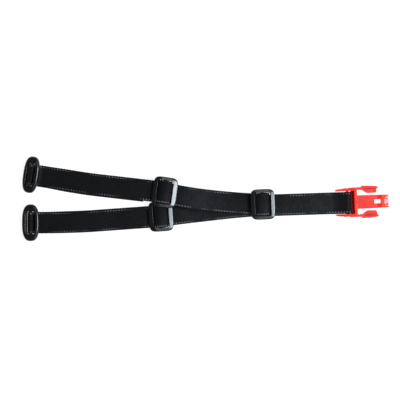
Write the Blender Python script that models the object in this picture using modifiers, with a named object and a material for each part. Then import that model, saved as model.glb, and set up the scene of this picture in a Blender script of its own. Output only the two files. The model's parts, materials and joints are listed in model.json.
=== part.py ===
"""Chest harness of an avalanche transceiver, lying flat, in metres, +Z up.

Three lengths of webbing meet in a Y. Each branch loops through an end ring and carries a slider,
and the doubled tail carries the junction slider and ends at the plug half of a side-release buckle.
X runs from the rings to the buckle, Y across the harness, and Z = 0 is the surface it lies on.
"""
import math

import bmesh
import bpy
from mathutils import Matrix, Vector

# ---------------------------------------------------------------- driving dimensions (metres)
WEB_WIDTH = 0.0200
WEB_THICK = 0.0012
GAP = 0.0003
LAYER = WEB_THICK + GAP
FLOOR_MID = WEB_THICK / 2          # mid height of a strand that lies on the floor
SECOND_MID = FLOOR_MID + LAYER     # mid height of a strand that lies on another
HARNESS_ORIGIN = (-0.00027, 0.00020, 0.0)

BAR_RADIUS = 0.0015                # the bars that the webbing is looped round
WRAP_RADIUS = BAR_RADIUS + GAP + WEB_THICK / 2

RING_LENGTH = 0.0344
RING_WIDTH = 0.0170
RING_THICK = 0.0045
RING_WINDOW = (0.0104, 0.0220)
RING_ROUNDNESS = 2.6
RING_TILT = {"upper": math.radians(27), "lower": math.radians(14)}
RING_BAR_HEIGHT = {"upper": 0.00580, "lower": 0.00470}
RING_LEAVE = {"upper": 42, "lower": 60}             # where the upper strand leaves the bar, degrees
RING_REACH = {"upper": 0.0095, "lower": 0.0080}     # how far on it is down on the lower strand
RING_MEET = -165                   # where the lower strand meets the bar again, degrees

SLIDER_SIZE = (0.0230, 0.0284)
SLIDER_THICK = 0.0026
SLIDER_WINDOW = (0.0148, 0.0224)
SLIDER_ROUNDNESS = 6.0
SLIDER_BAR = (0.0034, 0.0240, 0.0014)
SLIDER_BAR_DROP = -0.00045         # its middle, below the frame's own middle
HUMP_HALF = 0.0064
HUMP_RISE = 0.0018
HUMP_FOOT = -0.00055               # mid height of its ends, from the frame's middle
HUMP_STEP = -0.0005                # it is pulled towards the rings

BUCKLE_BAR_HEIGHT = 0.0034
BUCKLE_TURN = math.radians(2.3)
BUCKLE_HALF_WIDTH = 0.01385
BUCKLE_INNER_HALF = 0.0106
BUCKLE_FRAME_THICK = 0.0066
ARM_THICK = 0.0046
TONGUE_THICK = 0.0038
LIP_BACK = 0.0330                   # the thin lip in the notch of the tongue's tip
LIP_FRONT = 0.0381
LIP_HALF_WIDTH = 0.0052
LIP_THICK = 0.0012
CROSS_BACK = 0.0058                # the cross wall behind the tongue, along the buckle
CROSS_FRONT = 0.0086
STEP_BACK = 0.0039
STEP_TOP = -0.0008
ARM_ROOT = CROSS_FRONT + GAP
ARM_ROOT_SIDE = 0.01272            # the arms' flexing axes, from the buckle's middle

JUNCTION = (0.0520, -0.0063)
BRANCH_END = 0.0550
TAIL_START = 0.0465
TAIL_RETURN_START = 0.0655
BAR_TACK = (0.0020, 0.0160)
JUNCTION_TACK_START = 0.0600       # clear of the branches' ends as they swing
JUNCTION_TACK_THICK = 2 * LAYER - GAP - 0.0005

# Centre lines seen from above: (x, y, slope), a cubic between each pair.
UPPER_PLAN = [
    (-0.1629, 0.0222, -0.150),
    (-0.1365, 0.0182, -0.148),
    (-0.1020, 0.01303, -0.115),
    (-0.0440, 0.00636, -0.115),
    (-0.0239, 0.00215, -0.175),
    (-0.0013, -0.0013, -0.110),
    (0.0287, -0.0042, -0.075),
    (BRANCH_END, -0.0060, -0.050),
]
LOWER_PLAN = [
    (-0.1635, -0.0227, 0.0),
    (-0.1365, -0.0225, 0.020),
    (-0.1030, -0.02112, 0.072),
    (-0.0460, -0.01702, 0.072),
    (-0.0239, -0.0142, 0.120),
    (-0.0013, -0.0116, 0.115),
    (0.0287, -0.0083, 0.095),
    (BRANCH_END, -0.0063, 0.050),
]
TAIL_PLAN = [(TAIL_START, -0.00683, 0.032), (0.1334, -0.00405, 0.032)]
UPPER_BAR_X = UPPER_PLAN[0][0]
LOWER_BAR_X = LOWER_PLAN[0][0]
BUCKLE_BAR_X = TAIL_PLAN[-1][0]
BUCKLE_SIDE_STEP = 0.0003          # the buckle sits a little off the webbing's middle

UPPER_CLIMB = 0.0484               # the upper branch climbs over the lower slider
UPPER_CLIMB_FOOT = -0.1400
UPPER_CLIMB_TOP = -0.0260
UPPER_RETURN_END = -0.0570
UPPER_RETURN_SHIFT = -0.0009       # the strands of a doubled strap do not lie quite true
LOWER_RETURN_END = -0.0470
LOWER_RETURN_SHIFT = 0.0004
TAIL_DROP = -0.0242
TAIL_HEIGHT = FLOOR_MID + 2 * LAYER + 0.00005

UPPER_SLIDER_X = -0.0380
LOWER_SLIDER_X = -0.0417
JUNCTION_SLIDER_X = 0.0537
UPPER_SLIDER_SIDE = 0.0005         # how far a slider sits off its strap's middle
JUNCTION_SLIDER_SIDE = 0.0011
UPPER_SLIDER_TURN = math.radians(-8.0)
LOWER_SLIDER_TURN = math.radians(3.6)
JUNCTION_SLIDER_TURN = math.radians(2.2)


# ---------------------------------------------------------------- scene and materials
def clear_scene():
    for old in list(bpy.data.objects):
        bpy.data.objects.remove(old, do_unlink=True)


def collection(name):
    made = bpy.data.collections.new(name)
    bpy.context.scene.collection.children.link(made)
    return made


def material(name, colour, roughness, metallic=0.0):
    made = bpy.data.materials.new(name)
    made.use_nodes = True
    shader = made.node_tree.nodes["Principled BSDF"]
    shader.inputs["Base Color"].default_value = (*colour, 1.0)
    shader.inputs["Roughness"].default_value = roughness
    shader.inputs["Metallic"].default_value = metallic
    made.diffuse_color = (*colour, 1.0)
    return made


clear_scene()
PARTS = collection("transceiver_harness")
CUTTERS = collection("cutters")
WEBBING = material("black_webbing", (0.014, 0.015, 0.019), 0.85)
THREAD = material("black_thread", (0.010, 0.010, 0.012), 0.70)
BLACK = material("black_acetal", (0.012, 0.012, 0.013), 0.38)
RED = material("red_acetal", (0.820, 0.035, 0.020), 0.36)


# ---------------------------------------------------------------- small tools
def along(knots, x):
    """Value and slope at x of a smooth line through (x, value, slope) knots, straight past its ends."""
    if x <= knots[0][0]:
        return knots[0][1] + knots[0][2] * (x - knots[0][0]), knots[0][2]
    for (x0, v0, m0), (x1, v1, m1) in zip(knots, knots[1:]):
        if x <= x1:
            span = x1 - x0
            t = (x - x0) / span
            value = (2 * t**3 - 3 * t**2 + 1) * v0 + (t**3 - 2 * t**2 + t) * span * m0
            value += (3 * t**2 - 2 * t**3) * v1 + (t**3 - t**2) * span * m1
            slope = (6 * t**2 - 6 * t) * (v0 - v1) / span
            slope += (3 * t**2 - 4 * t + 1) * m0 + (3 * t**2 - 2 * t) * m1
            return value, slope
    return knots[-1][1] + knots[-1][2] * (x - knots[-1][0]), knots[-1][2]


def spaced(start, stop, count):
    return [start + (stop - start) * i / (count - 1) for i in range(count)]


def superellipse(length, width, power, count):
    """A closed outline between an ellipse (power 2) and a rectangle (high power)."""
    points = []
    for i in range(count):
        angle = 2 * math.pi * (i + 0.5) / count
        c = math.cos(angle)
        s = math.sin(angle)
        x = math.copysign(abs(c) ** (2 / power), c) * length / 2
        y = math.copysign(abs(s) ** (2 / power), s) * width / 2
        points.append((x, y))
    return points


def rounded_box(length, width, radius, middle=(0.0, 0.0), steps=3):
    """A rectangle's outline with round corners."""
    points = []
    for corner in range(4):
        sx = 1 if corner in (0, 3) else -1
        sy = 1 if corner in (0, 1) else -1
        for i in range(steps + 1):
            angle = math.pi / 2 * (corner + i / steps)
            x = middle[0] + sx * (length / 2 - radius) + radius * math.cos(angle)
            y = middle[1] + sy * (width / 2 - radius) + radius * math.sin(angle)
            points.append((x, y))
    return points


def arc(middle, radius, start, stop, steps):
    """Points on an arc, with its angles in degrees."""
    points = []
    for degrees in spaced(start, stop, steps + 1):
        angle = math.radians(degrees)
        points.append((middle[0] + radius * math.cos(angle), middle[1] + radius * math.sin(angle)))
    return points


def link(obj, surface, group=None):
    (group or PARTS).objects.link(obj)
    if surface is not None:
        obj.data.materials.append(surface)
    return obj


def smooth(obj, limit=35):
    obj.data.shade_smooth()
    obj.data.set_sharp_from_angle(angle=math.radians(limit))


def plate(name, outlines, thickness, surface, group=None):
    """A flat plate: the first outline filled, the others left open in it."""
    curve = bpy.data.curves.new(name, "CURVE")
    curve.dimensions = "2D"
    curve.fill_mode = "BOTH"
    curve.extrude = thickness / 2
    for outline in outlines:
        spline = curve.splines.new("POLY")
        spline.points.add(len(outline) - 1)
        for point, (x, y) in zip(spline.points, outline):
            point.co = (x, y, 0, 1)
        spline.use_cyclic_u = True
    flat = bpy.data.objects.new(name + "_outline", curve)
    CUTTERS.objects.link(flat)
    bpy.context.view_layer.update()
    mesh = bpy.data.meshes.new_from_object(flat.evaluated_get(bpy.context.evaluated_depsgraph_get()))
    bpy.data.objects.remove(flat, do_unlink=True)
    welded = bmesh.new()
    welded.from_mesh(mesh)
    bmesh.ops.remove_doubles(welded, verts=welded.verts, dist=0.000001)
    bmesh.ops.recalc_face_normals(welded, faces=welded.faces)
    welded.to_mesh(mesh)
    welded.free()
    mesh.name = name
    mesh.materials.clear()
    return link(bpy.data.objects.new(name, mesh), surface, group)


def soften(obj, width, segments=2):
    bevel = obj.modifiers.new("soft_edges", "BEVEL")
    bevel.width = width
    bevel.segments = segments
    bevel.limit_method = "ANGLE"
    bevel.angle_limit = math.radians(40)
    smooth(obj)
    return obj


def box(name, size, middle, surface, group=None):
    mesh = bpy.data.meshes.new(name)
    block = bmesh.new()
    bmesh.ops.create_cube(block, size=1.0)
    bmesh.ops.scale(block, vec=size, verts=block.verts)
    bmesh.ops.translate(block, vec=middle, verts=block.verts)
    block.to_mesh(mesh)
    block.free()
    return link(bpy.data.objects.new(name, mesh), surface, group)


def round_bar(name, radius, length, sides=16):
    """A bar along Y, used to join onto a frame."""
    mesh = bpy.data.meshes.new(name)
    rod = bmesh.new()
    bmesh.ops.create_cone(rod, cap_ends=True, segments=sides, radius1=radius, radius2=radius,
                          depth=length, matrix=Matrix.Rotation(math.pi / 2, 4, "X"))
    rod.to_mesh(mesh)
    rod.free()
    return link(bpy.data.objects.new(name, mesh), None, CUTTERS)


def combine(obj, tool, operation):
    """Join a tool onto a piece, or cut it away; the tool stays with the piece, unseen."""
    tool.parent = obj
    tool.display_type = "WIRE"
    tool.hide_render = True
    step = obj.modifiers.new(tool.name, "BOOLEAN")
    step.operation = operation
    step.object = tool


# ---------------------------------------------------------------- holders: one on each joint's axis
def spot_of(holder):
    """Where a holder stands in the harness's own coordinates; holders are never turned."""
    spot = Vector()
    while holder.parent is not None:
        spot += holder.location
        holder = holder.parent
    return spot


def holder(name, parent, spot):
    empty = bpy.data.objects.new(name, None)
    PARTS.objects.link(empty)
    if parent is not None:
        empty.parent = parent
        empty.location = Vector(spot) - spot_of(parent)
    else:
        empty.location = spot
    empty.empty_display_size = 0.01
    return empty


def hold(piece, parent, spot, turn=(0.0, 0.0, 0.0)):
    piece.parent = parent
    piece.location = Vector(spot) - spot_of(parent)
    piece.rotation_euler = turn
    return piece


def hold_in_place(piece, parent):
    """Hold a piece whose mesh is already in the harness's own coordinates."""
    piece.data.transform(Matrix.Translation(-spot_of(parent)))
    piece.parent = parent
    return piece


# ---------------------------------------------------------------- webbing
def strap(name, plan, stations, surface=WEBBING, width=WEB_WIDTH):
    """A strap: its side view, as (x, height, side shift) stations, laid along a plan line."""
    last = len(stations) - 1
    mesh = bpy.data.meshes.new(name)
    sheet = bmesh.new()
    bmesh.ops.create_grid(sheet, x_segments=last, y_segments=1, size=0.5)
    for vert in sheet.verts:
        x, height, shift = stations[round((vert.co.x + 0.5) * last)]
        middle, slope = along(plan, x)
        across = Vector((-slope, 1.0, 0.0)).normalized()
        edge = math.copysign(width / 2, vert.co.y) + shift
        vert.co = Vector((x, middle, height)) + across * edge
    sheet.to_mesh(mesh)
    sheet.free()
    piece = link(bpy.data.objects.new(name, mesh), surface)
    wall = piece.modifiers.new("thickness", "SOLIDIFY")
    wall.thickness = WEB_THICK
    wall.offset = 0.0
    wall.use_even_offset = True
    smooth(piece)
    return piece


def strand(heights, xs, shifts=((0.0, 0.0, 0.0),)):
    return [(x, along(heights, x)[0], along(shifts, x)[0]) for x in xs]


def wrap(bar_x, bar_height, start, stop, steps):
    """Stations round a bar; angles in degrees from straight up, positive towards +X."""
    stations = []
    for degrees in spaced(start, stop, steps + 1):
        angle = math.radians(degrees)
        x = bar_x + WRAP_RADIUS * math.sin(angle)
        stations.append((x, bar_height + WRAP_RADIUS * math.cos(angle), 0.0))
    return stations


BUCKLE_LEAVE = -20
BUCKLE_MEET = 175


def wrap_end(bar_x, bar_height, degrees, reach, mid):
    """Two knots of a strand that leaves a bar at an angle and comes down to a mid height."""
    angle = math.radians(degrees)
    x = bar_x + WRAP_RADIUS * math.sin(angle)
    return [(x, bar_height + WRAP_RADIUS * math.cos(angle), -math.tan(angle)), (bar_x + reach, mid, 0.0)]


def branch_webbing(label, plan, top_heights, return_heights, return_end, return_shift):
    bar_x = plan[0][0]
    bar_height = RING_BAR_HEIGHT[label]
    leave = wrap_end(bar_x, bar_height, RING_LEAVE[label], RING_REACH[label], SECOND_MID)
    meet = wrap_end(bar_x, bar_height, RING_MEET, 0.0098, FLOOR_MID)
    top = leave + top_heights
    low = meet + return_heights
    shifts = [(meet[1][0], 0.0, 0.0), (bar_x + 0.035, return_shift, 0.0), (return_end, return_shift, 0.0)]
    xs = spaced(BRANCH_END, leave[1][0], 34) + spaced(leave[1][0], leave[0][0], 8)[1:-1]
    stations = strand(top, xs) + wrap(bar_x, bar_height, RING_LEAVE[label], RING_MEET, 12)
    low_xs = spaced(meet[0][0], meet[1][0], 8)[1:] + spaced(meet[1][0], return_end, 16)[1:]
    stations += strand(low, low_xs, shifts)
    return strap(label + "_branch_webbing", plan, stations)


def climb(x, base):
    return base + UPPER_CLIMB * (x - UPPER_CLIMB_FOOT)


def upper_branch_webbing():
    foot = UPPER_CLIMB_FOOT + 0.010
    top = [(foot, climb(foot, SECOND_MID), UPPER_CLIMB),
           (UPPER_CLIMB_TOP, climb(UPPER_CLIMB_TOP, SECOND_MID), UPPER_CLIMB),
           (0.0240, SECOND_MID, 0.0), (BRANCH_END, SECOND_MID, 0.0)]
    low = [(foot, climb(foot, FLOOR_MID), UPPER_CLIMB),
           (UPPER_RETURN_END, climb(UPPER_RETURN_END, FLOOR_MID), UPPER_CLIMB)]
    return branch_webbing("upper", UPPER_PLAN, top, low, UPPER_RETURN_END,
                          UPPER_RETURN_SHIFT)


def lower_branch_webbing():
    top = [(-0.0300, SECOND_MID, 0.0), (-0.0040, FLOOR_MID, 0.0), (BRANCH_END, FLOOR_MID, 0.0)]
    low = [(LOWER_RETURN_END, FLOOR_MID, 0.0)]
    return branch_webbing("lower", LOWER_PLAN, top, low, LOWER_RETURN_END,
                          LOWER_RETURN_SHIFT)


def tail_line(x):
    return TAIL_HEIGHT + TAIL_DROP * (x - TAIL_START)


def tail_webbing():
    leave = wrap_end(BUCKLE_BAR_X, BUCKLE_BAR_HEIGHT, BUCKLE_LEAVE, -0.0160, SECOND_MID)
    meet = wrap_end(BUCKLE_BAR_X, BUCKLE_BAR_HEIGHT, BUCKLE_MEET, -0.0090, FLOOR_MID)
    drop_end = 0.1070
    top = [(TAIL_START, tail_line(TAIL_START), TAIL_DROP),
           (drop_end, tail_line(drop_end), TAIL_DROP), leave[1], leave[0]]
    low = [(TAIL_RETURN_START, FLOOR_MID, 0.0), meet[1], meet[0]]
    xs = spaced(TAIL_START, drop_end, 8) + spaced(drop_end, leave[1][0], 5)[1:]
    xs += spaced(leave[1][0], leave[0][0], 9)[1:-1]
    stations = strand(top, xs) + wrap(BUCKLE_BAR_X, BUCKLE_BAR_HEIGHT, BUCKLE_LEAVE, BUCKLE_MEET, 12)
    low_xs = spaced(meet[0][0], meet[1][0], 6)[1:] + spaced(meet[1][0], TAIL_RETURN_START, 8)[1:]
    return strap("tail_webbing", TAIL_PLAN, stations + strand(low, low_xs))


def bar_tack(name, plan, start, mid, shift=0.0, slope=0.0, thick=WEB_THICK):
    """The dense stitching that closes a sewn end, beside the end it holds."""
    length, width = BAR_TACK
    side, side_slope = along(plan, start + length / 2)
    piece = box(name, (length, width, thick), (0.0, 0.0, 0.0), THREAD)
    piece.data.transform(Matrix.Rotation(-math.atan(slope), 4, "Y"))
    piece.data.transform(Matrix.Rotation(math.atan(side_slope), 4, "Z"))
    piece.data.transform(Matrix.Translation((start + length / 2, side + shift, mid)))
    return piece


# ---------------------------------------------------------------- end rings and sliders
def end_ring(name):
    """An oval ring with a round bar across its middle."""
    outline = superellipse(RING_WIDTH, RING_LENGTH, RING_ROUNDNESS, 36)
    window = rounded_box(*RING_WINDOW, radius=0.0018)
    ring = soften(plate(name, [outline, window], RING_THICK, BLACK), 0.0010)
    bar = round_bar(name + "_bar", BAR_RADIUS, RING_WINDOW[1] + 0.003)
    combine(ring, bar, "UNION")
    return ring


def slider(name):
    """A webbing slider: a flat frame with a low bar across its window."""
    outline = superellipse(*SLIDER_SIZE, SLIDER_ROUNDNESS, 32)
    window = rounded_box(*SLIDER_WINDOW, radius=0.0014)
    frame = soften(plate(name, [outline, window], SLIDER_THICK, BLACK), 0.0007)
    bar = box(name + "_bar", SLIDER_BAR, (0.0, 0.0, SLIDER_BAR_DROP), None, CUTTERS)
    combine(frame, bar, "UNION")
    return frame


def webbing_hump(name):
    """The stretch of webbing that arches over a slider's bar, inside its window."""
    stations = []
    for x in spaced(-HUMP_HALF, HUMP_HALF, 13):
        rise = HUMP_RISE * max(0.0, 1 - (x / (HUMP_HALF * 1.01)) ** 2) ** 0.8
        stations.append((x + HUMP_STEP, HUMP_FOOT + rise, 0.0))
    return strap(name, [(0.0, 0.0, 0.0)], stations)


def slider_set(label, parent, x, y_step, plan, top_mid, slope, turn):
    """A slider and the webbing in its window, resting on its strap."""
    side = along(plan, x)[0] + y_step
    height = top_mid + WEB_THICK / 2 + GAP + SLIDER_THICK / 2
    spot = (x, side, height)
    rest = holder(label + "_slider_rest", parent, spot)
    lean = (0.0, -math.atan(slope), turn)
    hold(slider(label + "_slider"), rest, spot, lean)
    hold(webbing_hump(label + "_slider_webbing"), rest, spot, lean)


# ---------------------------------------------------------------- buckle
def mirrored(points):
    """An outline given for +Y, closed by its reflection in the buckle's middle plane."""
    return points + [(x, -y) for x, y in reversed(points)]


def buckle_body(name):
    """The buckle's frame: two side wings, the cross wall, the bar for the webbing and the tongue."""
    wing = [(-0.0116, 0.0116), (-0.0104, 0.0123), (-0.0080, 0.0128), (-0.0020, 0.0131),
            (0.0010, 0.0136), (0.0040, BUCKLE_HALF_WIDTH), (CROSS_FRONT, BUCKLE_HALF_WIDTH)]
    inner = [(CROSS_BACK, BUCKLE_INNER_HALF), (-0.0110, BUCKLE_INNER_HALF)]
    far_inner = [(x, -y) for x, y in reversed(inner)]
    outline = mirrored(wing) + far_inner + inner
    frame = soften(plate(name, [outline], BUCKLE_FRAME_THICK, RED), 0.0006)

    bar = round_bar(name + "_bar", BAR_RADIUS, 2 * BUCKLE_INNER_HALF + 0.0016)
    combine(frame, bar, "UNION")

    step_size = (CROSS_BACK - STEP_BACK + 0.0010, 2 * BUCKLE_INNER_HALF + 0.0012,
                 STEP_TOP + BUCKLE_FRAME_THICK / 2 - 0.0006)
    step_middle = ((STEP_BACK + CROSS_BACK + 0.0010) / 2, 0.0, STEP_TOP - step_size[2] / 2)
    combine(frame, box(name + "_step", step_size, step_middle, None, CUTTERS), "UNION")

    tip = [(0.0365, 0.0060), (0.0382, 0.0056), (0.0386, 0.0048)]
    notch = arc((0.0392, 0.0), 0.0048, 90, 165, 5)
    half = [(CROSS_FRONT - 0.0010, 0.0064), (0.0270, 0.0062)] + tip + notch
    window = rounded_box(0.0065, 0.0038, 0.0003, middle=(0.02805, 0.0))
    tongue = plate(name + "_tongue", [mirrored(half), window], TONGUE_THICK, None, CUTTERS)
    combine(frame, tongue, "UNION")

    lip_size = (LIP_FRONT - LIP_BACK, 2 * LIP_HALF_WIDTH, LIP_THICK)
    lip_middle = ((LIP_FRONT + LIP_BACK) / 2, 0.0, (LIP_THICK - TONGUE_THICK) / 2 + 0.0002)
    combine(frame, box(name + "_lip", lip_size, lip_middle, None, CUTTERS), "UNION")
    return frame


def buckle_arm(name, side):
    """One spring arm with its latch block; side is 1 for +Y and -1 for -Y."""
    outline = [(ARM_ROOT, 0.0116), (0.0138, 0.0113), (0.0180, 0.0083), (0.0265, 0.0086),
               (0.0282, 0.0096), (0.0282, 0.0128), (0.0262, 0.0144), (0.0200, 0.0150),
               (0.0134, 0.0152), (0.0128, 0.0139), (ARM_ROOT, 0.01385)]
    outline = [(x, side * y) for x, y in outline]
    return soften(plate(name, [outline], ARM_THICK, RED), 0.0005)


# ---------------------------------------------------------------- assembly
harness = holder("harness", None, HARNESS_ORIGIN)

hold_in_place(tail_webbing(), harness)
junction_tack = bar_tack("junction_bar_tack", TAIL_PLAN, JUNCTION_TACK_START,
                         JUNCTION_TACK_THICK / 2, thick=JUNCTION_TACK_THICK)
hold_in_place(junction_tack, harness)
tail_tack = bar_tack("tail_bar_tack", TAIL_PLAN, TAIL_RETURN_START - GAP - BAR_TACK[0], FLOOR_MID)
hold_in_place(tail_tack, harness)

upper_pivot = holder("upper_branch_pivot", harness, (*JUNCTION, SECOND_MID))
hold_in_place(upper_branch_webbing(), upper_pivot)
upper_tack = bar_tack("upper_branch_bar_tack", UPPER_PLAN, UPPER_RETURN_END + GAP,
                      climb(UPPER_RETURN_END + GAP + BAR_TACK[0] / 2, FLOOR_MID),
                      shift=UPPER_RETURN_SHIFT, slope=UPPER_CLIMB)
hold_in_place(upper_tack, upper_pivot)

lower_pivot = holder("lower_branch_pivot", harness, (*JUNCTION, FLOOR_MID))
hold_in_place(lower_branch_webbing(), lower_pivot)
lower_tack = bar_tack("lower_branch_bar_tack", LOWER_PLAN, LOWER_RETURN_END + GAP, FLOOR_MID,
                      shift=LOWER_RETURN_SHIFT)
hold_in_place(lower_tack, lower_pivot)

for label, plan, pivot in (("upper", UPPER_PLAN, upper_pivot), ("lower", LOWER_PLAN, lower_pivot)):
    ring_spot = (plan[0][0], plan[0][1], RING_BAR_HEIGHT[label])
    ring_pivot = holder(label + "_ring_pivot", pivot, ring_spot)
    ring_turn = (0.0, -RING_TILT[label], math.atan(plan[0][2]))
    hold(end_ring(label + "_end_ring"), ring_pivot, ring_spot, ring_turn)

slider_set("upper", upper_pivot, UPPER_SLIDER_X, UPPER_SLIDER_SIDE, UPPER_PLAN,
           climb(UPPER_SLIDER_X, SECOND_MID), UPPER_CLIMB, UPPER_SLIDER_TURN)
slider_set("lower", lower_pivot, LOWER_SLIDER_X, 0.0, LOWER_PLAN, SECOND_MID, 0.0, LOWER_SLIDER_TURN)
slider_set("junction", harness, JUNCTION_SLIDER_X, JUNCTION_SLIDER_SIDE, TAIL_PLAN,
           tail_line(JUNCTION_SLIDER_X), TAIL_DROP, JUNCTION_SLIDER_TURN)

buckle_spot = (BUCKLE_BAR_X, TAIL_PLAN[-1][1] + BUCKLE_SIDE_STEP, BUCKLE_BAR_HEIGHT)
buckle_pivot = holder("buckle_pivot", harness, buckle_spot)
buckle_lean = (0.0, 0.0, BUCKLE_TURN)
hold(buckle_body("buckle_body"), buckle_pivot, buckle_spot, buckle_lean)
for label, side in (("upper", 1), ("lower", -1)):
    root = Matrix.Rotation(BUCKLE_TURN, 3, "Z") @ Vector((ARM_ROOT, side * ARM_ROOT_SIDE, 0.0))
    arm_spot = Vector(buckle_spot) + root
    arm_pivot = holder(f"{label}_arm_pivot", buckle_pivot, arm_spot)
    arm = buckle_arm(f"buckle_{label}_arm", side)
    arm.data.transform(Matrix.Translation((-ARM_ROOT, -side * ARM_ROOT_SIDE, 0.0)))
    hold(arm, arm_pivot, arm_spot, buckle_lean)
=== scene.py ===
import json
import math

import bmesh
import bpy
from mathutils import Matrix, Vector


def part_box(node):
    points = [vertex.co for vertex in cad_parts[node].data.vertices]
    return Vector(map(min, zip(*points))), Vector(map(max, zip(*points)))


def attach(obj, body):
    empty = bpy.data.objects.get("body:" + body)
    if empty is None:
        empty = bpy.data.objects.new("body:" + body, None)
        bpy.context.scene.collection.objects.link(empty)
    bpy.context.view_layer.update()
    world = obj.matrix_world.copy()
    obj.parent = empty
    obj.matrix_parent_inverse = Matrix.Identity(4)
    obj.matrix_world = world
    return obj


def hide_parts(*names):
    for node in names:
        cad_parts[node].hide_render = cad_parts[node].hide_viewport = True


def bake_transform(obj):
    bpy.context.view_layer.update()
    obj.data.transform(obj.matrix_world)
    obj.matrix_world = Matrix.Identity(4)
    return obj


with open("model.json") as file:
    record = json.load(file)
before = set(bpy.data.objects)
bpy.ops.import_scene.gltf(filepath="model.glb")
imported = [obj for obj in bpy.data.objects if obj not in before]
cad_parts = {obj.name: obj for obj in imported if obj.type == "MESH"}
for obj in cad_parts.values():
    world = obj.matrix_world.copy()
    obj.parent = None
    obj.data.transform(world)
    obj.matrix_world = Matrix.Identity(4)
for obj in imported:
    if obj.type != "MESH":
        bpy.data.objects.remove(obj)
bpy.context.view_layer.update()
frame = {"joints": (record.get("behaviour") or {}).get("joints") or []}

JOINTS = {joint["name"]: joint for joint in frame["joints"]}

# ---------------------------------------------------------------- sizes
WEB_WIDTH = 0.0200
WEB_HALF_THICK = 0.0006
WEB_CROWN = 0.08                    # share of its thickness that a strap loses towards its edges
LAYER = 0.0015                      # a strand's thickness and the gap to the next
FLOOR_MID = WEB_HALF_THICK          # middle height of a strand that lies on the table
SECOND_MID = FLOOR_MID + LAYER      # and of the strand on top of it
BAR_RADIUS = 0.0015
WRAP_RADIUS = 0.0024                # from a bar's middle to the middle of the webbing round it
PICK = 0.00042                      # from one row of raised yarns to the next, along the strap
COLUMNS = 25                        # yarns across a strap's flat
YARN_RISE = 0.00005
SELVEDGE_PITCH = 0.0024
SELVEDGE_DIP = 0.00022              # how far an edge draws in between two of its loops
TAIL_SELVEDGE_DIP = 0.00034
LOOP_PITCH = 0.0026                 # pale loops just inside each edge of the webbing
LOOP_LINE = 0.0085                  # their distance from the strap's middle
LOOP_HALF = 0.0006

RING_SIZE = (0.0170, 0.0344, 0.0045)
RING_WINDOW = (0.0098, 0.0208)
RING_WINDOW_MIDDLE = 0.0004         # the window sits this far towards +X
RING_ROUND = 0.0019                 # radius of the ring's outer rims
RING_WINDOW_ROUND = 0.0005
# a black shelf under the left of the window, put in as a dark stand-in for the shade in the gap beside the
# bar
RING_SHADE_SHELF = ((-0.0054, -0.0106, 0.0002), (-0.0034, 0.0106, 0.0010))
PIN_MARK_PLACE = 0.0141             # the mould's pins mark both ends of a ring
PIN_MARK_SIZE = (0.0011, 0.0003)    # radius and depth
RING_TILT = {"upper": math.radians(27), "lower": math.radians(14)}
RING_BAR_HEIGHT = {side: JOINTS[side + "_ring_tilt"]["pos_m"][2] for side in ("upper", "lower")}
RING_LEAVE = {"upper": 42, "lower": 60}             # degrees from straight up where a strap leaves
RING_REACH = {"upper": 0.0095, "lower": 0.0080}     # and how far on it is down at its own height
UNDER_RING_LEAVE = -165
UNDER_RING_REACH = 0.0098
BUCKLE_LEAVE = -20                  # the same at the buckle's bar
UNDER_BUCKLE_LEAVE = 175

SLIDER_SIZE = (0.0230, 0.0284, 0.0026)
SLIDER_WINDOW = (0.0148, 0.0220)

PARTING_LINE = 0.00006              # how far the seam of a mould stands out
TINY = 0.00001

# The centre lines below are drawn round a junction at JUNCTION_DRAWN and then shifted to the real one.
JUNCTION_DRAWN = Vector((0.0520, -0.0063, SECOND_MID))
JUNCTION_SHIFT = Vector(JOINTS["upper_branch_swing"]["pos_m"]) - JUNCTION_DRAWN
BRANCH_END = 0.0550
TAIL_START = 0.0465

# Centre lines from above, as (x, y, slope), with a cubic between each pair.
UPPER_PLAN = [
    (-0.1629, 0.0222, -0.150),
    (-0.1365, 0.0182, -0.148),
    (-0.1020, 0.01303, -0.115),
    (-0.0440, 0.00636, -0.115),
    (-0.0239, 0.00215, -0.175),
    (-0.0013, -0.0013, -0.110),
    (0.0287, -0.0042, -0.075),
    (BRANCH_END, -0.0060, -0.050),
]
LOWER_PLAN = [
    (-0.1635, -0.0227, 0.0),
    (-0.1365, -0.0225, 0.020),
    (-0.1030, -0.02112, 0.072),
    (-0.0460, -0.01702, 0.072),
    (-0.0239, -0.0142, 0.120),
    (-0.0013, -0.0116, 0.115),
    (0.0287, -0.0083, 0.095),
    (BRANCH_END, -0.0063, 0.050),
]
TAIL_PLAN = [(TAIL_START, -0.00683, 0.032), (0.1334, -0.00405, 0.032)]

UPPER_CLIMB = 0.0484                # slope of the upper branch up to where it rests on the lower slider
UPPER_CLIMB_FOOT = -0.1400
UPPER_CLIMB_START = UPPER_CLIMB_FOOT + 0.010
UPPER_CLIMB_TOP = -0.0260
UPPER_RETURN_END = -0.0570          # the doubled-back strands end here
LOWER_RETURN_END = -0.0470
TAIL_RETURN_START = 0.0655
TAIL_HEIGHT = FLOOR_MID + 2 * LAYER + 0.00005
TAIL_DROP = -0.0242
TAIL_DROP_END = 0.1070


# ---------------------------------------------------------------- small tools
def deselect():
    bpy.ops.object.select_all(action="DESELECT")


def activate(piece):
    deselect()
    piece.select_set(True)
    bpy.context.view_layer.objects.active = piece


def begin(piece, mode="EDGE"):
    activate(piece)
    bpy.ops.object.mode_set(mode="EDIT")
    bpy.ops.mesh.select_mode(type=mode)
    bpy.ops.mesh.select_all(action="DESELECT")


def done():
    bpy.ops.object.mode_set(mode="OBJECT")


def pick(piece, kind, test):
    """Select the piece's verts, edges or faces that pass a test, in edit mode."""
    shape = bmesh.from_edit_mesh(piece.data)
    shape.normal_update()
    for item in getattr(shape, kind):
        if test(item):
            item.select_set(True)
    shape.select_flush_mode()
    bmesh.update_edit_mesh(piece.data)


def spaced(start, stop, count):
    return [start + (stop - start) * i / (count - 1) for i in range(count)]


def stepped(start, stop, step):
    return spaced(start, stop, max(2, round(abs(stop - start) / step) + 1))


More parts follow.
